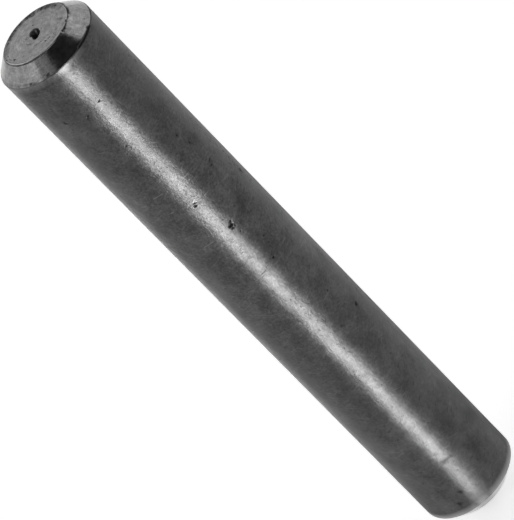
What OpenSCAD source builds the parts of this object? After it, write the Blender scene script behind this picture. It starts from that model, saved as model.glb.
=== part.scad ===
// Propeller shear pin: a plain round pin, turned and ground from one piece of steel bar.
// Each end has a chamfer whose two edges are softly rounded. The upper end face keeps the small
// conical dimple of the lathe centre, and the lower end face is plain.
//
// The pin is one solid of revolution about Z. It stands on its lower end face, and the origin is
// the centre of that face. Lengths are in millimetres and angles in degrees.

/* [Body] */
// Diameter of the ground body
pin_d = 4.76; // [4:0.01:13]
// Length over the two end faces
pin_l = 31.75; // [8:0.25:130]

/* [Upper end] */
// Radial width of the chamfer
upper_chamfer_w = 0.72; // [0.3:0.01:1.5]
// Angle between the chamfer and the pin's axis
upper_chamfer_angle = 45; // [20:1:70]

/* [Lower end] */
// Radial width of the chamfer
lower_chamfer_w = 0.72; // [0.3:0.01:1.8]
// Angle between the chamfer and the pin's axis
lower_chamfer_angle = 45; // [20:1:70]

/* [Edges] */
// Radius of the edge between an end face and its chamfer
face_edge_r = 0.14; // [0.02:0.01:0.3]
// Radius of the edge between a chamfer and the body
body_edge_r = 0.1; // [0.02:0.01:0.3]

/* [Centre dimple] */
// Diameter across the mouth
dimple_d = 0.6; // [0.3:0.01:1.2]
// Included angle of the cone
dimple_angle = 90; // [60:1:120]
// Radius of the rounded tip
dimple_tip_r = 0.08; // [0.02:0.01:0.12]
// Radius of the edge round the mouth
dimple_edge_r = 0.04; // [0.01:0.01:0.1]

/* [Hidden] */
// Straight steps that an edge's or the tip's arc is drawn with
arc_steps = 8;
$fn = 180;

pin_r = pin_d / 2;
dimple_r = dimple_d / 2;
upper_chamfer_l = upper_chamfer_w / tan(upper_chamfer_angle);
lower_chamfer_l = lower_chamfer_w / tan(lower_chamfer_angle);

// Headings along the half section, which runs from the dimple's tip up, outwards and down again:
// 0 points away from the axis and 90 points up
dimple_heading = 90 - dimple_angle / 2;
face_heading = 0;
upper_chamfer_heading = upper_chamfer_angle - 90;
body_heading = -90;
lower_chamfer_heading = -90 - lower_chamfer_angle;
lower_face_heading = -180;

function toward(heading) = [cos(heading), sin(heading)];

// Arc of radius r that rounds a corner of the half section, where the line turns right from one
// heading to another
function rounded_corner(corner, heading, next_heading, r) =
    let (turn = heading - next_heading)
    let (start = corner - r * tan(turn / 2) * toward(heading))
    let (centre = start + r * toward(heading - 90))
    [for (i = [0 : arc_steps]) centre + r * toward(heading + 90 - turn * i / arc_steps)];

// Rounded tip of the dimple: an arc about a point on the axis, from the axis to the cone's wall
function dimple_tip() =
    let (cone_l = dimple_r * tan(dimple_heading))
    let (centre = [0, pin_l - cone_l + dimple_tip_r / cos(dimple_heading)])
    [for (i = [0 : arc_steps]) centre + dimple_tip_r * toward(dimple_heading * i / arc_steps - 90)];

function dimple_edge() =
    rounded_corner([dimple_r, pin_l], dimple_heading, face_heading, dimple_edge_r);

function upper_face_edge() =
    rounded_corner([pin_r - upper_chamfer_w, pin_l], face_heading, upper_chamfer_heading, face_edge_r);

function upper_body_edge() =
    rounded_corner([pin_r, pin_l - upper_chamfer_l], upper_chamfer_heading, body_heading, body_edge_r);

function lower_body_edge() =
    rounded_corner([pin_r, lower_chamfer_l], body_heading, lower_chamfer_heading, body_edge_r);

function lower_face_edge() =
    rounded_corner([pin_r - lower_chamfer_w, 0], lower_chamfer_heading, lower_face_heading, face_edge_r);

module half_section() {
    polygon(concat(
        dimple_tip(),
        dimple_edge(),
        upper_face_edge(),
        upper_body_edge(),
        lower_body_edge(),
        lower_face_edge(),
        [[0, 0]]
    ));
}

module shear_pin() {
    color("dimgray") rotate_extrude() half_section();
}

shear_pin();
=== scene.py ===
import math

import bpy
import numpy as np
from mathutils import Matrix, Vector, noise


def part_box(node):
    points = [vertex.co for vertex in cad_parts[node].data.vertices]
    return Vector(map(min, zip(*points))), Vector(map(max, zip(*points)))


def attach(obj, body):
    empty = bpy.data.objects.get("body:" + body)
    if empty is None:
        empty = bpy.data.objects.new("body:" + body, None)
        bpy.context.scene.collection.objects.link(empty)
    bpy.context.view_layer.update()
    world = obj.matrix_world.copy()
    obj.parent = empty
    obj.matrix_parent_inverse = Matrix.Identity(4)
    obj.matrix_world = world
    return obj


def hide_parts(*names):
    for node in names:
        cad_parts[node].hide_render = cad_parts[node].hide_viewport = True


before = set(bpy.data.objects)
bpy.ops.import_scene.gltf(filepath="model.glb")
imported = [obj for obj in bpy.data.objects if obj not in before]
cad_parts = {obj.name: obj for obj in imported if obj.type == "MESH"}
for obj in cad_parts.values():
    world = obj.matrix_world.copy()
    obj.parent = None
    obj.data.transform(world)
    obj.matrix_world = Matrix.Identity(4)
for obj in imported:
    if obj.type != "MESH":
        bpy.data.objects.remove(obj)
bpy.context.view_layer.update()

# ---------------------------------------------------------------- the pin's sizes, as in CAD
MM = 0.001
NODE = "shear_pin"
node_low, node_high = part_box(NODE)
PIN_R = min(-node_low.x, node_high.x, -node_low.y, node_high.y) / MM
PIN_L = (node_high.z - node_low.z) / MM
CHAMFER_W = 0.72
FACE_EDGE_R = 0.14
BODY_EDGE_R = 0.10
FACE_R = PIN_R - CHAMFER_W

# The mesh is made in millimetres. A bearing is in degrees round the axis from the camera's side,
# growing towards -X, so the +X side has negative bearings.

# ---------------------------------------------------------------- wear: what marks the pin
# A row starts with the mark's place: on the body its distance from the dimpled end, on that end its
# radius, and then its bearing. Its half length along the section and its half width round the pin
# come next. A lean is in degrees. A strength or a darkness is a share of the most there can be.

# Pits in the body: place, half length, half width, depth, lean. They are dark inside.
PITS = (
    (11.82, -6.6, 0.10, 0.12, 0.045, 20),
    (11.66, -9.0, 0.07, 0.07, 0.035, 30),
    (11.80, -4.2, 0.05, 0.06, 0.030, 0),
    (11.98, -6.0, 0.06, 0.07, 0.030, 0),
    (11.96, -9.4, 0.04, 0.05, 0.020, 0),
    (9.80, 4.9, 0.035, 0.09, 0.022, 30),
    (9.93, 6.3, 0.050, 0.10, 0.028, 40),
    (9.11, -40.6, 0.06, 0.06, 0.030, 0),
    (9.32, -37.2, 0.04, 0.08, 0.020, 60),
    (14.44, -14.8, 0.06, 0.06, 0.040, 0),
    (12.35, -9.1, 0.04, 0.05, 0.020, 0),
    (13.41, -23.3, 0.04, 0.04, 0.020, 0),
    (7.79, -37.3, 0.05, 0.05, 0.020, 0),
    (7.04, -31.9, 0.06, 0.05, 0.015, 0),
    (3.07, 1.0, 0.05, 0.06, 0.030, 0),
    (3.33, 21.2, 0.045, 0.10, 0.035, -35),
    (3.10, 45.6, 0.035, 0.15, 0.025, 50),
    (19.47, -47.2, 0.10, 0.12, 0.030, 0),
    (17.71, -32.1, 0.04, 0.04, 0.020, 0),
    (16.52, 3.4, 0.035, 0.04, 0.015, 0),
    (18.55, -6.8, 0.035, 0.04, 0.015, 0),
    (5.56, 14.3, 0.05, 0.04, 0.015, 0),
    (3.20, 118.0, 0.06, 0.10, 0.030, 20),
    (9.20, -128.0, 0.08, 0.07, 0.035, 0),
    (9.85, 152.0, 0.05, 0.05, 0.025, 0),
    (11.80, 96.0, 0.06, 0.09, 0.030, 45),
    (14.40, 168.0, 0.07, 0.06, 0.035, 0),
    (19.45, -152.0, 0.09, 0.12, 0.045, -30),
    (19.40, 74.0, 0.05, 0.05, 0.020, 0),
    (29.90, -98.0, 0.08, 0.07, 0.025, 0),
)
# Soft, dark stains on the body: place, half length, half width, lean, strength.
STAINS = (
    (28.04, 6.1, 0.14, 0.32, -8, 0.42),
    (27.45, 8.5, 0.12, 0.15, 20, 0.28),
    (29.86, 17.2, 0.12, 0.12, 0, 0.62),
    (30.38, 28.0, 0.13, 0.12, 0, 0.62),
    (19.36, -16.0, 0.10, 0.10, 0, 0.50),
    # This row is painted shade rather than a stain: it dims the start of the highlight by the rim.
    (1.00, -3.0, 0.30, 0.30, 0, 0.30),
    (9.30, -39.5, 0.22, 0.13, 20, 0.28),
    (9.75, -36.0, 0.45, 0.16, 35, 0.20),
    (7.79, -37.3, 0.16, 0.14, 0, 0.25),
    (7.04, -31.9, 0.14, 0.16, 0, 0.25),
    (19.55, -46.5, 0.20, 0.16, 40, 0.30),
    (19.40, -30.0, 0.30, 0.30, 0, 0.16),
    (22.0, -22.0, 0.25, 0.22, 0, 0.18),
    (12.10, -15.0, 0.30, 0.25, 0, 0.16),
    (5.20, -52.0, 0.35, 0.30, 0, 0.14),
    (16.0, 32.0, 0.40, 0.25, 0, 0.14),
    (25.2, 38.0, 0.50, 0.30, 0, 0.14),
    (14.6, -58.0, 0.60, 0.30, 0, 0.14),
    (28.0, -60.0, 0.60, 0.50, 0, 0.32),
    (19.6, -46.0, 0.80, 0.50, 30, 0.24),
    (5.9, -46.0, 0.60, 0.50, 0, 0.24),
    (7.8, -42.0, 0.50, 0.50, 0, 0.21),
    (28.8, -32.0, 0.70, 0.50, 0, 0.20),
    (11.6, -31.0, 0.60, 0.45, 0, 0.20),
    (17.0, -60.0, 0.60, 0.50, 0, 0.21),
    (23.0, -50.0, 0.60, 0.50, 0, 0.20),
    (17.2, -38.0, 0.50, 0.50, 0, 0.18),
    (14.4, -47.0, 0.50, 0.50, 0, 0.18),
    (18.4, 27.0, 0.50, 0.40, 0, 0.14),
    (12.5, 27.0, 0.50, 0.40, 0, 0.12),
    (21.0, 120.0, 0.50, 0.40, 0, 0.18),
    (10.0, -150.0, 0.60, 0.40, 0, 0.18),
    (26.0, -165.0, 0.80, 0.50, 20, 0.18),
    (5.5, 160.0, 0.60, 0.60, 0, 0.16),
    (16.5, 95.0, 0.70, 0.50, 0, 0.16),
)
# Soft, paler patches on the body, rubbed by handling: place, half length, half width, lean, strength.
HANDLED = (
    (4.8, -43.0, 0.70, 0.50, 0, 0.055),
    (10.0, -39.0, 0.60, 0.50, 0, 0.055),
    (18.4, -43.0, 0.60, 0.45, 20, 0.045),
    (12.8, -33.0, 0.50, 0.40, 0, 0.035),
    (24.4, -28.0, 0.60, 0.40, 0, 0.030),
    (30.4, -41.0, 0.35, 0.50, 0, 0.040),
    (25.2, 52.0, 0.60, 0.50, 0, 0.030),
    (28.8, 40.0, 0.50, 0.40, 0, 0.030),
    (12.0, -170.0, 0.90, 0.60, 30, 0.045),
    (22.5, 150.0, 0.80, 0.60, 0, 0.045),
    (7.0, 110.0, 0.70, 0.50, 0, 0.040),
)
# Places where the body is scored all over: place, half length, half width, lean, strength.
SCORED = (
    (14.58, 4.5, 0.28, 0.50, -10, 1.0),
    (13.00, 3.5, 0.85, 0.24, 0, 0.85),
    (9.40, 2.5, 0.60, 0.22, 0, 0.60),
    (8.90, -14.0, 0.90, 0.42, 20, 0.55),
    (7.20, 4.0, 0.70, 0.20, 0, 0.50),
    (16.90, 0.0, 0.50, 0.22, 0, 0.50),
    (21.90, 12.5, 0.16, 0.14, 30, 0.70),
    (11.00, -47.0, 1.60, 0.40, 0, 0.60),
    (2.60, -50.0, 1.00, 0.40, 0, 0.45),
    (15.50, 20.0, 1.10, 0.20, 15, 0.45),
    (8.00, 140.0, 1.50, 0.60, 0, 0.60),
    (20.00, -120.0, 1.80, 0.60, 0, 0.60),
)
# Fine, pale scratches round the body: place, half length round the pin, half width, lean, strength.
SCRATCHES = (
    (9.86, -10.4, 0.22, 0.016, 0, 0.42),
    (9.69, 3.6, 0.09, 0.022, 25, 0.42),
    (9.78, 2.2, 0.05, 0.020, -35, 0.42),
    (8.54, -9.0, 0.26, 0.016, 0, 0.42),
    (8.47, 27.3, 0.32, 0.020, 0, 0.42),
    (9.53, 28.4, 0.12, 0.020, 0, 0.42),
    (17.80, -24.7, 0.28, 0.018, 0, 0.22),
    (2.66, -34.0, 0.10, 0.016, 0, 0.35),
    (11.86, 24.0, 0.40, 0.016, 2, 0.42),
    (14.44, -38.0, 0.25, 0.014, 0, 0.35),
    (9.25, -66.0, 0.30, 0.016, 0, 0.35),
    (3.05, -140.0, 0.40, 0.018, 1, 0.42),
    (14.40, 130.0, 0.50, 0.018, 2, 0.42),
    (19.40, 170.0, 0.45, 0.018, -2, 0.42),
)
# Spots on the dimpled face: place, half length, half width, depth, lean, darkness.
FACE_SPOTS = (
    (1.34, -160.5, 0.06, 0.12, 0.020, 0, 0.75),
    (1.50, 133.0, 0.05, 0.12, 0.020, 0, 0.85),
    (1.52, -111.0, 0.07, 0.10, 0.030, 0, 0.95),
    (1.41, 75.0, 0.06, 0.09, 0.025, 20, 0.85),
    (1.49, 86.0, 0.03, 0.12, 0.015, 0, 0.60),
    (1.50, 146.0, 0.05, 0.12, 0.020, 0, 0.80),
    (1.54, 128.0, 0.04, 0.09, 0.015, 0, 0.70),
    (1.50, 118.0, 0.025, 0.22, 0.012, 0, 0.65),
    (1.47, 98.0, 0.02, 0.16, 0.012, 0, 0.70),
    (1.06, -6.0, 0.08, 0.05, 0.025, 0, 0.75),
    (1.12, -16.5, 0.07, 0.08, 0.015, 30, 0.55),
    (0.81, 4.0, 0.05, 0.05, 0.012, 0, 0.42),
    (1.22, -28.0, 0.05, 0.06, 0.012, 0, 0.45),
    (1.48, 140.0, 0.05, 0.06, 0.012, 0, 0.55),
    (0.90, -22.0, 0.05, 0.05, 0.010, 0, 0.45),
    (1.26, -20.0, 0.06, 0.05, 0.012, 0, 0.45),
    (1.40, -24.0, 0.05, 0.07, 0.012, 0, 0.45),
    (1.22, -39.0, 0.06, 0.08, 0.012, 0, 0.40),
    (1.35, -63.0, 0.10, 0.10, 0.020, 0, 0.55),
    (1.21, -68.0, 0.07, 0.06, 0.015, 0, 0.50),
    (1.29, -131.0, 0.12, 0.14, 0.008, 0, 0.30),
    (0.81, 16.0, 0.10, 0.16, 0.006, 0, 0.28),
    (0.66, -164.5, 0.07, 0.045, 0.020, 0, 0.65),
    (0.50, 113.0, 0.05, 0.09, 0.008, 0, 0.30),
    (0.60, 59.5, 0.022, 0.19, 0.015, -8, 0.65),
    (0.95, 24.0, 0.04, 0.20, 0.006, 0, 0.25),
)
# Notches and chips in the two edges of the dimpled end: place, half length, half width, depth,
# lean, darkness.
EDGE_CHIPS = (
    (1.70, -70.0, 0.07, 0.13, 0.022, 0, 0.85),
    (1.70, -82.0, 0.06, 0.11, 0.015, 0, 0.70),
    (1.64, -51.0, 0.06, 0.07, 0.035, 0, 0.85),
    (1.69, -37.0, 0.05, 0.10, 0.030, 0, 0.90),
    (1.68, -32.0, 0.06, 0.06, 0.030, 0, 0.80),
    (2.30, 43.0, 0.07, 0.05, 0.040, 0, 0.80),
    (2.33, 38.0, 0.04, 0.16, 0.020, 0, 0.55),
    (2.30, 61.0, 0.05, 0.12, 0.020, 0, 0.50),
    (2.31, 20.0, 0.05, 0.12, 0.020, 0, 0.60),
    (2.18, -60.0, 0.06, 0.05, 0.012, 0, 0.35),
    (2.33, -47.0, 0.06, 0.10, 0.030, 0, 0.90),
    (2.33, 150.0, 0.06, 0.14, 0.030, 0, 0.80),
    (1.69, 170.0, 0.05, 0.12, 0.030, 0, 0.80),
    (2.34, -140.0, 0.05, 0.20, 0.020, 0, 0.70),
)
# Paler, rubbed patches on the dimpled end: place, half length, half width, lean, strength.
RUBBED = (
    (1.79, -57.0, 0.10, 0.13, 0, 1.0),
    (2.03, -47.0, 0.18, 0.09, 0, 0.90),
    (1.89, -43.0, 0.16, 0.07, 0, 0.80),
    (2.16, -36.0, 0.12, 0.05, 0, 0.50),
    (1.57, -14.0, 0.035, 0.34, 0, 0.60),
    (1.57, -28.0, 0.030, 0.16, 0, 0.55),
    (2.05, 62.0, 0.16, 0.10, 0, 0.30),
    (2.10, 118.0, 0.12, 0.16, 0, 0.35),
    (1.95, -128.0, 0.10, 0.20, 0, 0.35),
)
# The dimple's ragged mouth: bearing and radius, going round once.
DIMPLE_MOUTH = (
    (-178, 0.42), (-165, 0.42), (-145, 0.38), (-100, 0.26), (-52, 0.29), (-15, 0.33), (2, 0.41),
    (20, 0.45), (38, 0.37), (65, 0.25), (90, 0.21), (119, 0.29), (145, 0.38), (159, 0.41),
)
DIMPLE_R = 0.33
DIMPLE_DEPTH = 0.36
# The radius out to which the face's rings follow the ragged mouth.
DIMPLE_REACH = 0.75
# How far noise moves the mouth, and the share by which it changes the depth.
MOUTH_RAGGED = 0.02
DIMPLE_ROUGH = 0.10
# Painted light: paler spots on the dimple's far wall, where light falls on it: place across and back
# from the middle, radius.
DIMPLE_LIT_SPOTS = ((-0.02, 0.27, 0.11), (0.06, 0.21, 0.08))
# The painted shade inside the dimple, and the share of it taken away on the lit spots.
DIMPLE_SHADE, LIT_SPOT_SHARE = 0.94, 0.58

SCRATCH_DEPTH = 0.003
# Long waves in the ground body: depth, and the length at each end over which they set in.
WAVE_DEPTH = 0.0024
WAVE_START = 1.2
# Where a mark starts and stops fading, as shares of its half size.
PIT_FADE = (0.25, 1.05)
PIT_GRIME_FADE = (0.40, 1.40)
PATCH_FADE = (0.2, 1.3)
SCRATCH_END_FADE = (0.5, 1.0)
SCRATCH_SIDE_FADE = (0.3, 1.0)
LINE_FADE = (0.4, 1.1)
DIMPLE_WALL_FADE = (0.12, 1.0)
DIMPLE_SHADE_FADE = (0.80, 1.06)
DIMPLE_LIT_SPOT_FADE = (0.4, 1.0)
# How a mark's outline leaves the oval: waves round it, and how far each goes.
RAGGED_WAVES = ((2, 0.20), (3, 0.16), (5, 0.10), (8, 0.07))
# The first seed of each kind of mark. A row's own seed is this plus its number.
PIT_SEED, SPOT_SEED, RUBBED_SEED = 100, 200, 300
STAIN_SEED, SCORED_SEED, HANDLED_SEED = 400, 500, 600

# ---------------------------------------------------------------- how fine the mesh is
COLUMNS = 224
# How far the columns crowd towards the camera's side.
CAMERA_SIDE_BIAS = 0.35
# Distance between the body's rings: in general, and at pits, scratches and small stains.
BODY_STEP = 0.30
PIT_STEP = 0.038
SCRATCH_STEP = 0.014
STAIN_STEP = 0.05
# Distance from an edge's arc to the ring that keeps the run beside it flat.
GUARD = 0.015
EDGE_STEPS, LOW_EDGE_STEPS = 8, 5
CHAMFER_RINGS, LOW_CHAMFER_RINGS, FOOT_RINGS = 22, 7, 9
# Rings of the dimpled face, as shares of its radius: how many and how far apart, inside and outside.
DIMPLE_RINGS, DIMPLE_RING_STEP = 15, 0.0153
FACE_RINGS, FACE_RING_STEP = 34, 0.0220


def smoothstep(low, high, x):
    t = np.clip((x - low) / (high - low), 0, 1)
    return t * t * (3 - 2 * t)


def fade(start, end, x):
    """1 up to start, falling softly to 0 at end."""
    return 1 - smoothstep(start, end, x)


def turned_by(bearing, middle):
    """Degrees from one bearing to another, the short way round."""
    return (bearing - middle + 180) % 360 - 180


def wander(points, fineness, seed):
    """Smooth noise, about -1 to 1, at each of many points in millimetres."""
    seed_shift = 7.31
    places = points * np.array(fineness) + seed * seed_shift
    flat = places.reshape(-1, 3)
    return np.array([noise.noise(Vector(p)) for p in flat]).reshape(points.shape[:-1])


# ---------------------------------------------------------------- half section of the pin
def arc(corner, heading, next_heading, radius, steps):
    """Points of the arc that rounds a corner of the half section, as (radius, height) pairs."""
    turn = heading - next_heading

    def toward(angle):
        return np.array([math.cos(math.radians(angle)), math.sin(math.radians(angle))])

    start = np.array(corner) - radius * math.tan(math.radians(turn) / 2) * toward(heading)
    centre = start + radius * toward(heading - 90)
    return [centre + radius * toward(heading + 90 - turn * i / steps) for i in range(steps + 1)]


def between(a, b, shares):
    """The points inside a straight run of the half section, at these shares of its length."""
    a, b = np.array(a), np.array(b)
    return [a + (b - a) * s for s in shares]


def guarded(a, b, count):
    """Even points inside a straight run, with one more close to each end to keep the run flat."""
    guard = GUARD / np.linalg.norm(np.array(b) - np.array(a))
    return between(a, b, np.concatenate([[guard], np.arange(1, count) / count, [1 - guard]]))


def spaced(start, end, zones):
    """Heights from start down to end, BODY_STEP apart and closer in each zone.
    A zone is a height, a half width and the step there."""
    samples, soft = 20001, 0.12
    height = np.linspace(start, end, samples)
    density = np.full(samples, 1 / BODY_STEP)
    for middle, half, step in zones:
        density = np.maximum(density, fade(half, half + soft, np.abs(height - middle)) / step)
    mean = (density[1:] + density[:-1]) / 2
    count = np.concatenate([[0], np.cumsum(mean * (start - end) / (samples - 1))])
    levels = np.linspace(0, count[-1], int(round(count[-1])) + 1)[1:-1]
    return np.interp(levels, count, height)


def fine_zones():
    """Where the body's rings lie closer, because a small mark is there."""
    zones = []
    for down, _, half_u, half_v, _, lean in PITS:
        leaning = half_v * abs(math.sin(math.radians(lean)))
        zones.append((PIN_L - down, max(half_u, leaning), PIT_STEP))
    for down, _, _, half_u, _, _ in SCRATCHES:
        zones.append((PIN_L - down, half_u, SCRATCH_STEP))
    for down, _, half_u, _, _, _ in STAINS:
        if half_u < BODY_STEP / 2:
            zones.append((PIN_L - down, half_u, STAIN_STEP))
    return zones


def half_section():
    """The half section from the middle of the dimpled face to the middle of the foot, and its parts."""
    face_edge = arc((FACE_R, PIN_L), 0, -45, FACE_EDGE_R, EDGE_STEPS)
    body_edge = arc((PIN_R, PIN_L - CHAMFER_W), -45, -90, BODY_EDGE_R, EDGE_STEPS)
    low_body_edge = arc((PIN_R, CHAMFER_W), -90, -135, BODY_EDGE_R, LOW_EDGE_STEPS)
    low_face_edge = arc((FACE_R, 0), -135, -180, FACE_EDGE_R, LOW_EDGE_STEPS)
    top, low = body_edge[-1][1], low_body_edge[0][1]
    heights = [top - GUARD, *spaced(top, low, fine_zones()), low + GUARD]
    inside = np.arange(1, DIMPLE_RINGS + 1) * DIMPLE_RING_STEP
    outside = inside[-1] + np.arange(1, FACE_RINGS + 1) * FACE_RING_STEP
    parts = (
        ("face", between((0, PIN_L), face_edge[0], np.concatenate([inside, outside]))),
        ("face_edge", face_edge),
        ("chamfer", guarded(face_edge[-1], body_edge[0], CHAMFER_RINGS)),
        ("body_edge", body_edge),
        ("body", [np.array([PIN_R, height]) for height in heights]),
        ("low_body_edge", low_body_edge),
        ("low_chamfer", guarded(low_body_edge[-1], low_face_edge[0], LOW_CHAMFER_RINGS)),
        ("low_face_edge", low_face_edge),
        ("foot", guarded(low_face_edge[-1], (0, 0), FOOT_RINGS)[:-1]),
    )
    rings, names = [], []
    for name, points in parts:
        rings += points
        names += [name] * len(points)
    return np.array(rings), np.array(names)


# ---------------------------------------------------------------- mesh of the pin
class Surface:
    """The pin's skin as a grid of rings and columns, with its wear.
    run is each ring's distance from the middle of the dimpled face, along the half section."""

    def __init__(self):
        self.ring, self.part = half_section()
        step = np.linalg.norm(np.diff(self.ring, axis=0), axis=1)
        first = np.hypot(self.ring[0, 0], self.ring[0, 1] - PIN_L)
        self.run = first + np.concatenate([[0], np.cumsum(step)])
        t = np.linspace(-math.pi, math.pi, COLUMNS, endpoint=False)
        self.bearing = np.degrees(t - CAMERA_SIDE_BIAS * np.sin(t))
        ahead = np.gradient(self.ring, axis=0)
        ahead /= np.linalg.norm(ahead, axis=1)[:, None]
        self.normal = np.stack([-ahead[:, 1], ahead[:, 0]], axis=1)
        self.radius = np.repeat(self.ring[:, 0:1], COLUMNS, axis=1)
        self.sunk = np.zeros(self.radius.shape)
        # Darkening, for dirt, stains and pits, and for painted shade.
        self.grime_and_shade = np.zeros(self.radius.shape)
        # Paling, for rubbed wear and for painted light.
        self.rub_and_painted_light = np.zeros(self.radius.shape)
        self.scored = np.zeros(self.radius.shape)
        self.at = self.points()

    def points(self):
        radius = self.radius - self.normal[:, 0:1] * self.sunk
        height = self.ring[:, 1:2] - self.normal[:, 1:2] * self.sunk
        turn = np.radians(self.bearing)
        return np.stack([-radius * np.sin(turn), -radius * np.cos(turn), height], axis=2)

    def run_at_radius(self, radius):
        """The run of a place on the dimpled end."""
        top = self.ring[:, 1] > PIN_L - CHAMFER_W
        return np.interp(radius, self.ring[top, 0], self.run[top])

    def run_at_depth(self, depth):
        """The run of a place on the body."""
        body = self.part == "body"
        return np.interp(depth, PIN_L - self.ring[body, 1], self.run[body])

    def away_from(self, run):
        """Each ring's distance from a place on the section, as a column."""
        return np.abs(self.run[:, None] - run)

    def sector(self, start, end, soft):
        """1 between two bearings, falling to 0 over soft degrees outside them, for each column."""
        middle, half = (start + end) / 2, (end - start) / 2
        return fade(half, half + soft, np.abs(turned_by(self.bearing, middle)))

    def noise_round(self, run, fineness, seed):
        """Smooth noise round the ring at a place on the section, one value a column."""
        return wander(self.at[np.argmin(np.abs(self.run - run))], fineness, seed)

    def around(self, run, bearing):
        """Distances along the section and round the pin from one place, for the whole grid."""
        return (self.run - run)[:, None], self.radius * np.radians(turned_by(self.bearing, bearing))

    def ragged(self, run, bearing, half_u, half_v, lean, seed):
        """How far each point is from a ragged oval's middle: 0 there, 1 at its edge."""
        u, v = self.around(run, bearing)
        turn = math.radians(lean)
        along = (u * math.cos(turn) + v * math.sin(turn)) / half_u
        across = (v * math.cos(turn) - u * math.sin(turn)) / half_v
        angle = np.arctan2(across, along)
        phases = np.random.default_rng(seed).uniform(0, 2 * math.pi, len(RAGGED_WAVES))
        edge = 1
        for (waves, reach), phase in zip(RAGGED_WAVES, phases):
            edge = edge + reach * np.cos(waves * angle + phase)
        return np.hypot(along, across) / edge

    def pit(self, run, bearing, half_u, half_v, depth, lean, dark, seed):
        away = self.ragged(run, bearing, half_u, half_v, lean, seed)
        self.sunk += depth * fade(*PIT_FADE, away)
        self.darken(dark * fade(*PIT_GRIME_FADE, away))

    def scratch(self, run, bearing, half_v, half_u, lean, strength):
        u, v = self.around(run, bearing)
        bent = u - v * math.tan(math.radians(lean))
        line = fade(*SCRATCH_END_FADE, np.abs(v) / half_v)
        line = line * fade(*SCRATCH_SIDE_FADE, np.abs(bent) / half_u)
        self.sunk += SCRATCH_DEPTH * line
        self.polish_and_paint_light(strength * line)

    def line(self, run, half, strength, depth=0.0):
        """A dark line round the pin, whose run, half width and strength may change on the way."""
        band = strength * fade(*LINE_FADE, self.away_from(run) / half)
        self.sunk += depth * band
        self.darken(band)

    def darken(self, strength):
        self.grime_and_shade = np.maximum(self.grime_and_shade, strength)

    # Paling: rubbed wear, and light painted in at the rim and the foot.
    def polish_and_paint_light(self, strength):
        self.rub_and_painted_light = np.maximum(self.rub_and_painted_light, strength)

    def patches(self, table, run_at, seed):
        """How strong the soft, ragged patches of a table are, where run_at turns places into runs."""
        strongest = np.zeros(self.radius.shape)
        for i, (place, bearing, half_u, half_v, lean, strength) in enumerate(table):
            away = self.ragged(run_at(place), bearing, half_u, half_v, lean, seed + i)
            strongest = np.maximum(strongest, strength * fade(*PATCH_FADE, away))
        return strongest

    def dimple(self):
        """Pulls the face's rings to the ragged mouth and sinks those inside it. Paints shade inside it,
        and light on spots of its far wall.
        """
        face = (self.part == "face")[:, None]
        bearings, radii = np.array(DIMPLE_MOUTH).T
        turned = [self.bearing + degrees for degrees in range(-8, 9, 2)]
        soft = np.mean([np.interp(b, bearings, radii, period=360) for b in turned], axis=0)
        mouth = soft + MOUTH_RAGGED * wander(self.at, fineness=9, seed=1)
        nominal = self.radius.copy()
        follows = fade(DIMPLE_R, DIMPLE_REACH, nominal)
        self.radius = np.where(face, nominal * (1 + (mouth / DIMPLE_R - 1) * follows), nominal)
        wall = fade(*DIMPLE_WALL_FADE, nominal / DIMPLE_R)
        rough = 1 + DIMPLE_ROUGH * wander(self.at, fineness=14, seed=2)
        self.sunk += np.where(face, DIMPLE_DEPTH * wall * rough, 0)
        # Painted shade inside the dimple, less on the spots of its far wall that are painted as lit.
        lit_share = np.zeros(self.radius.shape)
        for x, y, reach in DIMPLE_LIT_SPOTS:
            away = np.hypot(self.at[..., 0] - x, self.at[..., 1] - y) / reach
            lit_share = np.maximum(lit_share, fade(*DIMPLE_LIT_SPOT_FADE, away))
        inside = fade(*DIMPLE_SHADE_FADE, nominal / DIMPLE_R)
        self.darken(np.where(face, inside * (DIMPLE_SHADE - LIT_SPOT_SHARE * lit_share), 0))

    def face_edge(self):
        """Dark, uneven lines painted along the edge of the dimpled face: the shade and the dark that its
        rounded edge mirrors.
        """
        edge = self.run_at_radius(FACE_R)
        waver = self.noise_round(edge, fineness=3.1, seed=3)
        ripple = self.noise_round(edge, fineness=5.2, seed=11)
        flutter = self.noise_round(edge, fineness=11, seed=4)
        crease = self.run_at_radius(FACE_R + 0.03)

        clean = self.sector(-30, 2, soft=5)
        self.line(crease + 0.012 * flutter, half=0.036 + 0.012 * waver, depth=0.008,
                  strength=np.clip(0.72 + 0.35 * waver, 0.30, 0.90) * (1 - 0.9 * clean))
        torn = self.sector(-112, -38, soft=5)
        self.line(crease + 0.06 * ripple, half=0.055 + 0.04 * ripple, depth=0.010,
                  strength=torn * np.clip(0.66 + 0.9 * ripple, 0.30, 0.90))
        inner = self.sector(92, 122, soft=6)
        self.line(self.run_at_radius(FACE_R - 0.045) + 0.012 * flutter, half=0.032, depth=0.006,
                  strength=inner * np.clip(0.62 + 0.5 * flutter, 0.3, 0.85))
        # Painted shade: a broad dark band on the far side of the face's rounded edge, which tilts away
        # and mirrors the dark.
        far = self.sector(112, 258, soft=14)
        self.line(self.run_at_radius(FACE_R - 0.12) + 0.05 * waver, depth=0.010,
                  half=0.24 + 0.07 * flutter,
                  strength=far * np.clip(0.58 + 0.55 * waver + 0.40 * flutter, 0.12, 0.90))

    def rim_and_foot(self):
        """Dark lines along the rim where chamfer and body meet and at the foot, and paler bands there
        painted in as light.
        """
        rim = self.run_at_radius(PIN_R - 0.02)
        waver = self.noise_round(rim, fineness=1.7, seed=5)
        flutter = self.noise_round(rim, fineness=8, seed=6)

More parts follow.
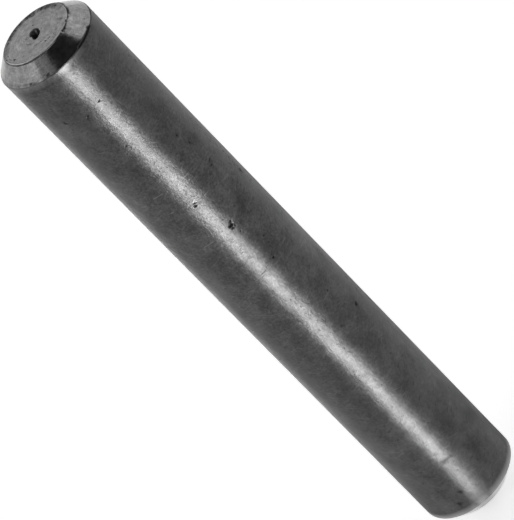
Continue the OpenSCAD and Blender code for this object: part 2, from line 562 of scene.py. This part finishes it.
        shoulder = self.sector(-50, -23, soft=3)
        worn = self.sector(70, 150, soft=12) + self.sector(-175, -70, soft=12)
        broken = worn * smoothstep(-0.1, 0.5, flutter + 0.6 * waver) * 0.5
        self.line(self.run_at_radius(PIN_R - 0.022) + 0.018 * flutter, depth=0.010,
                  half=0.034 + 0.042 * shoulder + 0.022 * np.abs(flutter),
                  strength=np.clip(0.92 * shoulder + broken, 0, 1))
        dull = self.sector(42, 160, soft=8)
        self.line(self.run_at_radius(PIN_R - 0.07) + 0.03 * flutter, half=0.12 + 0.06 * flutter,
                  strength=dull * np.clip(0.24 + 0.4 * flutter + 0.2 * waver, 0.05, 0.40))
        # Painted light: a paler band on the body just below the rim, on the -X side.
        spill = self.sector(22, 175, soft=6) * np.clip(0.70 + 0.8 * flutter, 0.25, 1)
        below = fade(0.04, 0.11 + 0.04 * flutter, self.away_from(self.run_at_radius(PIN_R - 0.01)))
        self.polish_and_paint_light(0.40 * spill * below)
        # Painted highlight: a thin bright line on the body just below the rim, where the highlight meets
        # it.
        bright = self.sector(-22, 17, soft=6) * (0.7 + 0.3 * flutter)
        thin = fade(0.008, 0.03, self.away_from(self.run_at_depth(CHAMFER_W + 0.03)))
        self.polish_and_paint_light(0.22 * bright * thin)

        shown = self.sector(-75, 70, soft=25)
        self.line(self.run[self.part == "low_face_edge"].mean(), half=0.05, depth=0.006,
                  strength=np.clip(0.4 + 0.5 * waver, 0, 0.8) * (1 - 0.85 * shown))
        # Painted light: the low rim and the foot made paler, as where they mirror the white floor, less
        # so within the highlight.
        low = self.run[self.part == "low_body_edge"].min()
        painted_foot_rim = smoothstep(low - 0.30 - 0.10 * flutter, low + 0.02, self.run[:, None])
        in_highlight = self.sector(-2, 13, soft=8)
        self.polish_and_paint_light(painted_foot_rim * np.clip(0.90 + 0.3 * waver, 0.6, 1) * (1 - 0.75 * in_highlight))

    def waves(self):
        """Long, shallow waves in the ground body, which make the highlight's edges wander."""
        short_share = 0.45
        wave = wander(self.at, fineness=(0.9, 0.9, 0.55), seed=8)
        wave += short_share * wander(self.at, fineness=(2.3, 2.3, 1.5), seed=9)
        start, end = self.run_at_depth(CHAMFER_W), self.run_at_depth(PIN_L - CHAMFER_W)
        inside = smoothstep(0, WAVE_START, np.minimum(self.run - start, end - self.run))[:, None]
        body = (self.part == "body")[:, None]
        self.sunk += np.where(body, WAVE_DEPTH * inside * (1 + wave / (1 + short_share)), 0)

    def wear(self):
        self.dimple()
        self.face_edge()
        self.rim_and_foot()
        for i, (down, *row) in enumerate(PITS):
            self.pit(self.run_at_depth(down), *row, 1.0, PIT_SEED + i)
        self.darken(self.patches(STAINS, self.run_at_depth, STAIN_SEED))
        self.scored = self.patches(SCORED, self.run_at_depth, SCORED_SEED)
        self.polish_and_paint_light(self.patches(HANDLED, self.run_at_depth, HANDLED_SEED))
        for down, *row in SCRATCHES:
            self.scratch(self.run_at_depth(down), *row)
        for i, (radius, *row) in enumerate(FACE_SPOTS + EDGE_CHIPS):
            self.pit(self.run_at_radius(radius), *row, SPOT_SEED + i)
        self.polish_and_paint_light(self.patches(RUBBED, self.run_at_radius, RUBBED_SEED))
        self.waves()

    def mesh(self, name):
        """The grid as a mesh in metres, closed by a point in the dimple and one in the foot."""
        grid = self.points()
        tip = [0, 0, grid[0, :, 2].min()]
        co = np.vstack([grid.reshape(-1, 3), [tip, [0, 0, 0]]]) * MM
        top, bottom = len(co) - 2, len(co) - 1
        count = len(self.ring)
        i = np.arange(COLUMNS)
        j = (i + 1) % COLUMNS
        faces = []
        for k in range(count - 1):
            a, b = k * COLUMNS, (k + 1) * COLUMNS
            faces += np.stack([a + i, a + j, b + j, b + i], axis=1).tolist()
        last = (count - 1) * COLUMNS
        faces += np.stack([np.full(COLUMNS, top), j, i], axis=1).tolist()
        faces += np.stack([np.full(COLUMNS, bottom), last + i, last + j], axis=1).tolist()
        mesh = bpy.data.meshes.new(name)
        mesh.from_pydata(co.tolist(), [], faces)
        # The darkening holds dirt and painted shade; the paling holds rubbed wear and painted light.
        attributes = (("grime_and_shade", self.grime_and_shade, 1.0), ("rub_and_painted_light", self.rub_and_painted_light, 0.0), ("scored", self.scored, 0.0))
        for label, values, at_tip in attributes:
            layer = mesh.attributes.new(label, "FLOAT", "POINT")
            layer.data.foreach_set("value", np.append(values.ravel(), [at_tip, 0.0]).astype(np.float32))
        mesh.polygons.foreach_set("use_smooth", np.ones(len(mesh.polygons), dtype=bool))
        mesh.polygons.foreach_set("material_index", self.materials(len(mesh.polygons)))
        mesh.update()
        return mesh

    def materials(self, face_count):
        """Each face's material: 0 on the ground body, 1 on the turned ends."""
        ground = np.isin(self.part[:-1], ("body_edge", "body")) | (self.part[1:] == "low_body_edge")
        sides = np.repeat(np.where(ground, 0, 1), COLUMNS)
        ends = np.ones(face_count - len(sides))
        return np.concatenate([sides, ends]).astype(np.int32)


surface = Surface()
surface.wear()
pin = bpy.data.objects.new("worn_pin", surface.mesh("worn_pin"))
bpy.context.scene.collection.objects.link(pin)
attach(pin, "root")
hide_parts(NODE)


# ---------------------------------------------------------------- materials
DUST_ROUGHNESS = 0.4
# Turns the gloss from round the pin to along it.
QUARTER_TURN = 0.25


class Nodes:
    """A new material's node tree, with short ways to add to it."""

    def __init__(self, name):
        self.material = bpy.data.materials.new(name)
        self.material.use_nodes = True
        self.tree = self.material.node_tree

    def node(self, kind, **settings):
        made = self.tree.nodes.new(kind)
        for key, value in settings.items():
            setattr(made, key, value)
        return made

    def link(self, value, socket):
        """Joins an output to a socket, or sets the socket to a plain value."""
        if isinstance(value, bpy.types.NodeSocket):
            self.tree.links.new(value, socket)
        else:
            socket.default_value = value

    def fill(self, kind, values, **settings):
        """A node whose first inputs take these values."""
        made = self.node(kind, **settings)
        for value, socket in zip(values, made.inputs):
            self.link(value, socket)
        return made

    def math(self, operation, *values):
        return self.fill("ShaderNodeMath", values, operation=operation).outputs[0]

    def attribute(self, name):
        return self.node("ShaderNodeAttribute", attribute_name=name).outputs["Fac"]


class Metal(Nodes):
    """A procedural metal, with its texture coordinates in millimetres."""

    def __init__(self, name):
        super().__init__(name)
        self.shader = self.tree.nodes["Principled BSDF"]
        enlarge = self.node("ShaderNodeVectorMath", operation="SCALE")
        self.link(self.node("ShaderNodeTexCoord").outputs["Object"], enlarge.inputs[0])
        enlarge.inputs["Scale"].default_value = 1 / MM
        self.place = enlarge.outputs[0]
        self.x, self.y, self.height = self.fill("ShaderNodeSeparateXYZ", (self.place,)).outputs
        squares = [self.math("MULTIPLY", side, side) for side in (self.x, self.y)]
        radius = self.math("SQRT", self.math("ADD", *squares))
        from_middle = self.math("ABSOLUTE", self.math("SUBTRACT", self.height, PIN_L / 2))
        self.across_lay = self.math("SUBTRACT", from_middle, radius)
        self.lay = self.join(self.x, self.y, self.across_lay)

    def join(self, x, y, z):
        return self.fill("ShaderNodeCombineXYZ", (x, y, z)).outputs[0]

    def slanted_lay(self, slant, shift):
        """The lay's coordinates for marks that climb with x, moved along by shift."""
        climb = self.math("ADD", self.across_lay, self.math("MULTIPLY", self.x, slant))
        return self.join(self.math("ADD", self.x, shift), self.y, climb)

    def noise(self, coordinate, fineness, detail=2.0, roughness=0.5, curl=0.0):
        """Noise about 0.5. fineness is how often it changes in a millimetre, along each coordinate."""
        finer = self.fill("ShaderNodeVectorMath", (coordinate, fineness), operation="MULTIPLY")
        made = self.node("ShaderNodeTexNoise")
        self.link(finer.outputs[0], made.inputs["Vector"])
        made.inputs["Scale"].default_value = 1.0
        made.inputs["Detail"].default_value = detail
        made.inputs["Roughness"].default_value = roughness
        made.inputs["Distortion"].default_value = curl
        return made.outputs["Fac"]

    def remap(self, value, low, high, to_low, to_high):
        limits = (low, high, to_low, to_high)
        return self.fill("ShaderNodeMapRange", (value, *limits), clamp=True).outputs[0]

    def mask(self, value, low, high):
        """0 up to low, 1 from high on."""
        return self.remap(value, low, high, 0, 1)

    def spread(self, value, low, high, reach=0.25):
        """From low to high, as a noise goes from reach below 0.5 to reach above it."""
        return self.remap(value, 0.5 - reach, 0.5 + reach, low, high)

    def vary(self, value, amount, reach=0.25):
        """A factor from 1 - amount to 1 + amount, as spread() gives it."""
        return self.spread(value, 1 - amount, 1 + amount, reach)

    def where(self, mask, change):
        """A factor of 1, and of 1 + change where the mask is 1."""
        return self.math("MULTIPLY_ADD", mask, change, 1.0)

    def blend(self, factor, a, b):
        made = self.node("ShaderNodeMix", data_type="FLOAT")
        self.link(factor, made.inputs[0])
        self.link(a, made.inputs["A"])
        self.link(b, made.inputs["B"])
        return made.outputs[0]

    def chain(self, operation, first, *others):
        for value in others:
            first = self.math(operation, first, value)
        return first

    def product(self, *values):
        return self.chain("MULTIPLY", *values)

    def total(self, *values):
        return self.chain("ADD", *values)

    def finish(self, base, roughness, heights, bump_mm, edge, dust=0.0, anisotropic=0.0):
        """Wires colour, roughness and bump. heights are (value, weight) pairs, edge is the tint at
        grazing angles, dust is the sheen, and anisotropic draws the gloss out along the pin."""
        s = self.shader.inputs
        self.link(self.fill("ShaderNodeCombineColor", (base, base, base)).outputs[0], s["Base Color"])
        self.link(roughness, s["Roughness"])
        relief = self.math("MULTIPLY", *heights[0])
        for value, weight in heights[1:]:
            relief = self.math("MULTIPLY_ADD", value, weight, relief)
        bump = self.node("ShaderNodeBump")
        bump.inputs["Strength"].default_value = 1.0
        bump.inputs["Distance"].default_value = bump_mm * MM
        self.link(relief, bump.inputs["Height"])
        self.link(bump.outputs[0], s["Normal"])
        s["Metallic"].default_value = 1.0
        s["Specular Tint"].default_value = (edge, edge, edge, 1)
        s["Sheen Weight"].default_value = dust
        s["Sheen Roughness"].default_value = DUST_ROUGHNESS
        if anisotropic:
            s["Anisotropic"].default_value = anisotropic
            s["Anisotropic Rotation"].default_value = QUARTER_TURN
            tangent = self.node("ShaderNodeTangent", direction_type="RADIAL", axis="Z")
            self.link(tangent.outputs[0], s["Tangent"])
        return self.material


def ground_body():
    """Ground steel, dulled and worn by handling: dark, with the lay of the grinding running round the
    pin. Light and shade are painted into its colour in places.
    """
    steel, rubbed_and_lit_steel, dirt_and_shade, dirt_and_shade_roughness = 0.090, 0.45, 0.012, 0.7
    k = Metal("ground_body")
    cloud = k.noise(k.place, (0.45, 0.45, 0.34))
    patch = k.noise(k.place, (1.25, 1.25, 0.95), detail=3, roughness=0.6)
    mottle = k.noise(k.place, (3.2, 3.2, 3.0), detail=3, roughness=0.6, curl=0.8)
    streak = k.noise(k.lay, (3.6, 3.6, 10.0), detail=4, roughness=0.65)
    grain = k.noise(k.place, (9.0, 9.0, 9.0), detail=3, roughness=0.7, curl=0.6)
    speck = k.mask(k.noise(k.place, (7.0, 7.0, 7.0), detail=1), 0.70, 0.77)
    hair = 0.0
    for slant, shift in ((0.35, 0.0), (-0.60, 40.0)):
        fine = k.noise(k.slanted_lay(slant, shift), (0.9, 0.9, 20.0), detail=1)
        hair = k.math("MAXIMUM", hair, k.mask(fine, 0.66, 0.76))
    score = k.mask(k.noise(k.lay, (2.2, 2.2, 15.0), roughness=0.6, curl=0.5), 0.50, 0.62)
    score = k.math("MULTIPLY", score, k.attribute("scored"))
    grime_and_shade = k.attribute("grime_and_shade")
    rub_and_painted_light = k.attribute("rub_and_painted_light")

    # The fine grain is crisp in the middle of the pin and softer towards both ends.
    crisp = k.product(k.remap(k.height, 6.0, 20.0, 0.46, 1.0), k.remap(k.height, 22.0, 28.0, 1.0, 0.78))
    fine = k.math("MULTIPLY", k.vary(streak, 0.20), k.vary(grain, 0.46))
    fine = k.math("MULTIPLY_ADD", k.math("SUBTRACT", fine, 1.0), crisp, 1.0)
    # Painted light: the colour is made paler towards the foot, to make up for the shaded floor that the
    # body mirrors there.
    painted_paler_foot = k.remap(k.height, 2.0, 10.0, 1.22, 1.0)
    base = k.product(steel, k.vary(cloud, 0.20, reach=0.2), k.vary(patch, 0.23), k.vary(mottle, 0.20),
                     fine, painted_paler_foot, k.where(speck, -0.40), k.where(hair, 0.45), k.where(score, -0.48))
    # Dark where dirty and where shade is painted in; paler where rubbed and where light is painted in.
    base = k.blend(grime_and_shade, k.blend(rub_and_painted_light, base, rubbed_and_lit_steel), dirt_and_shade)

    rougher_foot = k.remap(k.height, 2.0, 14.0, 0.045, 0.0)
    roughness = k.total(k.spread(mottle, 0.450, 0.482), k.spread(grain, -0.02, 0.02, reach=0.3),
                        rougher_foot)
    roughness = k.blend(grime_and_shade, roughness, dirt_and_shade_roughness)
    relief = k.math("MULTIPLY", k.math("SUBTRACT", grain, 0.5), crisp)
    heights = ((streak, 0.5), (relief, 1.5), (mottle, 1.8), (speck, -0.5), (score, -1.2))
    return k.finish(base, roughness, heights, bump_mm=0.0050, edge=0.28, dust=0.30, anisotropic=0.87)


def turned_ends():
    """Turned steel of the faces, the chamfers and their edges: paler, with rings from the tool."""
    steel, rubbed_and_lit_steel, dirt_and_shade, dirt_and_shade_roughness = 0.285, 0.46, 0.022, 0.7
    k = Metal("turned_ends")
    cloud = k.noise(k.place, (0.9, 0.9, 0.9), detail=3, roughness=0.6)
    mottle = k.noise(k.place, (4.0, 4.0, 4.0), detail=3, roughness=0.6)
    rings = k.noise(k.lay, (1.6, 1.6, 15.0), detail=3, roughness=0.6)
    grain = k.noise(k.place, (15.0, 15.0, 15.0), roughness=0.6)
    speck = k.mask(k.noise(k.place, (6.0, 6.0, 6.0), detail=1), 0.70, 0.78)
    grime_and_shade = k.attribute("grime_and_shade")
    base = k.product(steel, k.vary(cloud, 0.14, reach=0.2), k.vary(mottle, 0.30), k.vary(rings, 0.22),
                     k.vary(grain, 0.24), k.where(speck, -0.4))
    # Dark where dirty and where shade is painted in; paler where rubbed and where light is painted in.
    base = k.blend(grime_and_shade, k.blend(k.attribute("rub_and_painted_light"), base, rubbed_and_lit_steel), dirt_and_shade)
    roughness = k.total(k.spread(mottle, 0.14, 0.20), k.spread(grain, -0.02, 0.02, reach=0.3))
    roughness = k.blend(grime_and_shade, roughness, dirt_and_shade_roughness)
    heights = ((rings, 0.5), (grain, 0.5), (mottle, 0.8), (speck, -0.5))
    return k.finish(base, roughness, heights, bump_mm=0.0030, edge=0.9)


pin.data.materials.append(ground_body())
pin.data.materials.append(turned_ends())

# ---------------------------------------------------------------- studio
# The paper's own colour, and the glow that makes it near white for the camera and in the metal.
PAPER = (0.8, 0.8, 0.8, 1)
PAPER_GLOW = 0.655
CARD_STRENGTH = 18.0
# The card is a fan in front of the pin: its middle azimuth and half width at the pin and from
# FAN_SETTLED_R on, in degrees.
NEAR_AZIMUTH, FAR_AZIMUTH = -12.0, -5.2
NEAR_HALF, FAR_HALF = 7.5, 11.0
FAN_SETTLED_R = 50 * MM
CARD_INNER_R, CARD_OUTER_R, CARD_STEPS = 4 * MM, 150 * MM, 24
CARD_LIFT = 0.2 * MM
# Its share of the full glow beside the pin, growing to all of it at FULL_GLOW_R.
NEAR_GLOW, FULL_GLOW_R = 0.68, 16 * MM
# Across the card: share of its half width, degrees beyond that, and share of the glow. It ends
# sharply on the -X side and fades out on the +X side.
CARD_ACROSS = ((-1.0, 0.0, 1.0), (0.5, 0.0, 1.0), (1.0, 0.0, 0.45), (1.0, 13.0, 0.0))
# Lamps that face the pin's middle: azimuth from the camera's side towards +X, elevation, width,
# height, radiance.
LAMP_DISTANCE = 0.45
LAMPS = {
    "left_box": (-118, 35, 0.76, 0.44, 0.82),
    "left_fill": (-54, 61, 0.22, 0.15, 0.28),
    "left_mid_fill": (-64, 56, 0.17, 0.14, 0.13),
    "right_box": (122, 35, 0.60, 0.44, 0.77),
    "back_box": (180, 33, 0.52, 0.30, 0.71),
    "top_box": (180, 88, 0.19, 0.19, 0.70),
}
WORLD_STRENGTH = 0.03


def staged_mesh(name, verts, faces, surface_of):
    """An object of the studio. surface_of makes its shader from empty Nodes."""
    mesh = bpy.data.meshes.new(name)
    mesh.from_pydata(verts, [], faces)
    mesh.polygons.foreach_set("use_smooth", np.ones(len(mesh.polygons), dtype=bool))
    obj = bpy.data.objects.new(name, mesh)
    bpy.context.scene.collection.objects.link(obj)
    k = Nodes(name)
    k.tree.nodes.clear()
    k.link(surface_of(k), k.node("ShaderNodeOutputMaterial").inputs["Surface"])
    mesh.materials.append(k.material)
    return obj


def white_paper(k):
    """Diffuse paper that the camera, and what the metal mirrors, also see as near white."""
    path = k.node("ShaderNodeLightPath").outputs
    seen = k.math("MAXIMUM", path["Is Camera Ray"], path["Is Glossy Ray"])
    seen = k.math("MAXIMUM", seen, path["Is Transmission Ray"])
    glow = k.node("ShaderNodeEmission")
    k.link(k.math("MULTIPLY", seen, PAPER_GLOW), glow.inputs["Strength"])
    diffuse = k.fill("ShaderNodeBsdfDiffuse", (PAPER,))
    return k.fill("ShaderNodeAddShader", (diffuse.outputs[0], glow.outputs[0])).outputs[0]


def sweep():
    """White floor that curves up into a low wall all round, as one mesh of revolution."""
    floor_r, bend_r, wall_h = 0.55, 0.1, 0.11
    bends, columns = 12, 96
    points = [(0.0, 0.0), (0.02, 0.0), (0.1, 0.0), (0.3, 0.0), (floor_r, 0.0)]
    for i in range(1, bends + 1):
        a = math.radians(90 * i / bends)
        points.append((floor_r + bend_r * math.sin(a), bend_r * (1 - math.cos(a))))
    points.append((floor_r + bend_r, wall_h))
    verts, faces = [], []
    for r, z in points:
        for i in range(columns):
            t = 2 * math.pi * i / columns
            verts.append((r * math.cos(t), r * math.sin(t), z))
    for k in range(len(points) - 1):
        a, b = k * columns, (k + 1) * columns
        for i in range(columns):
            j = (i + 1) % columns
            faces.append((a + i, a + j, b + j, b + i))
    staged_mesh("sweep", verts, faces, white_paper)


def glowing(k):
    """Light from the upper side, as strong as the mesh's own "glow" says. The underside is clear, so
    the floor below the card is lit like the rest of it."""
    glow = k.node("ShaderNodeEmission")
    k.link(k.math("MULTIPLY", k.attribute("glow"), CARD_STRENGTH), glow.inputs["Strength"])
    clear = k.node("ShaderNodeBsdfTransparent")
    underside = k.node("ShaderNodeNewGeometry").outputs["Backfacing"]
    return k.fill("ShaderNodeMixShader", (underside, glow.outputs[0], clear.outputs[0])).outputs[0]


def glowing_card():
    """A fan-shaped strip of light on the floor in front of the pin, which the camera doesn't see."""
    verts, faces, glow = [], [], []
    for k in range(CARD_STEPS + 1):
        r = CARD_INNER_R * (CARD_OUTER_R / CARD_INNER_R) ** (k / CARD_STEPS)
        share = min(1.0, r / FAN_SETTLED_R)
        middle = NEAR_AZIMUTH + (FAR_AZIMUTH - NEAR_AZIMUTH) * share
        half = NEAR_HALF + (FAR_HALF - NEAR_HALF) * share
        grown = (1 - NEAR_GLOW) * (r - CARD_INNER_R) / (FULL_GLOW_R - CARD_INNER_R)
        level = min(1.0, NEAR_GLOW + grown)
        for side, beyond, strength in CARD_ACROSS:
            a = math.radians(middle + side * half + beyond)
            verts.append((r * math.sin(a), -r * math.cos(a), CARD_LIFT))
            glow.append(level * strength)
    columns = len(CARD_ACROSS)
    for k in range(CARD_STEPS):
        for i in range(columns - 1):
            a, b = k * columns + i, (k + 1) * columns + i
            faces.append((a, b, b + 1, a + 1))
    card = staged_mesh("front_card", verts, faces, glowing)
    card.data.attributes.new("glow", "FLOAT", "POINT").data.foreach_set("value", glow)
    card.visible_camera = False
    card.visible_shadow = False


def softbox(name, azimuth, elevation, width, height, radiance):
    """A flat lamp that faces the pin's middle."""
    a, e = math.radians(azimuth), math.radians(elevation)
    middle = Vector((0, 0, PIN_L / 2 * MM))
    away = Vector((math.sin(a) * math.cos(e), -math.cos(a) * math.cos(e), math.sin(e)))
    lamp = bpy.data.lights.new(name, "AREA")
    lamp.shape = "RECTANGLE"
    lamp.size, lamp.size_y = width, height
    lamp.energy = radiance * math.pi * width * height
    obj = bpy.data.objects.new(name, lamp)
    obj.location = middle + away * LAMP_DISTANCE
    obj.rotation_mode = "QUATERNION"
    obj.rotation_quaternion = away.to_track_quat("Z", "Y")
    obj.visible_camera = False
    bpy.context.scene.collection.objects.link(obj)


sweep()
glowing_card()
for lamp_name, setting in LAMPS.items():
    softbox(lamp_name, *setting)

world = bpy.data.worlds.new("studio")
bpy.context.scene.world = world
world.use_nodes = True
world.node_tree.nodes["Background"].inputs["Color"].default_value = (1, 1, 1, 1)
world.node_tree.nodes["Background"].inputs["Strength"].default_value = WORLD_STRENGTH

# ---------------------------------------------------------------- camera
# The photo's size, and the camera that was fitted to the pin's outline in it.
FRAME_W, FRAME_H = 514, 520
FOCAL_PX = 5630.7
SENSOR = 36.0
TILT = math.radians(31.77)
ROLL = math.radians(44.38)
EYE = Vector((0.017, -204.585, 143.050)) * MM
camera_data = bpy.data.cameras.new("camera")
camera_data.sensor_width = SENSOR
camera_data.lens = FOCAL_PX * SENSOR / max(FRAME_W, FRAME_H)
camera_data.clip_start = 0.01
camera = bpy.data.objects.new("camera", camera_data)
forward = Vector((0, math.cos(TILT), -math.sin(TILT)))
level_up = Vector((0, math.sin(TILT), math.cos(TILT)))
level_right = Vector((1, 0, 0))
up = level_up * math.cos(ROLL) + level_right * math.sin(ROLL)
right = forward.cross(up)
camera.matrix_world = Matrix((
    (right.x, up.x, -forward.x, EYE.x),
    (right.y, up.y, -forward.y, EYE.y),
    (right.z, up.z, -forward.z, EYE.z),
    (0, 0, 0, 1),
))
bpy.context.scene.collection.objects.link(camera)
bpy.context.scene.camera = camera
bpy.context.scene.view_settings.view_transform = "Standard"
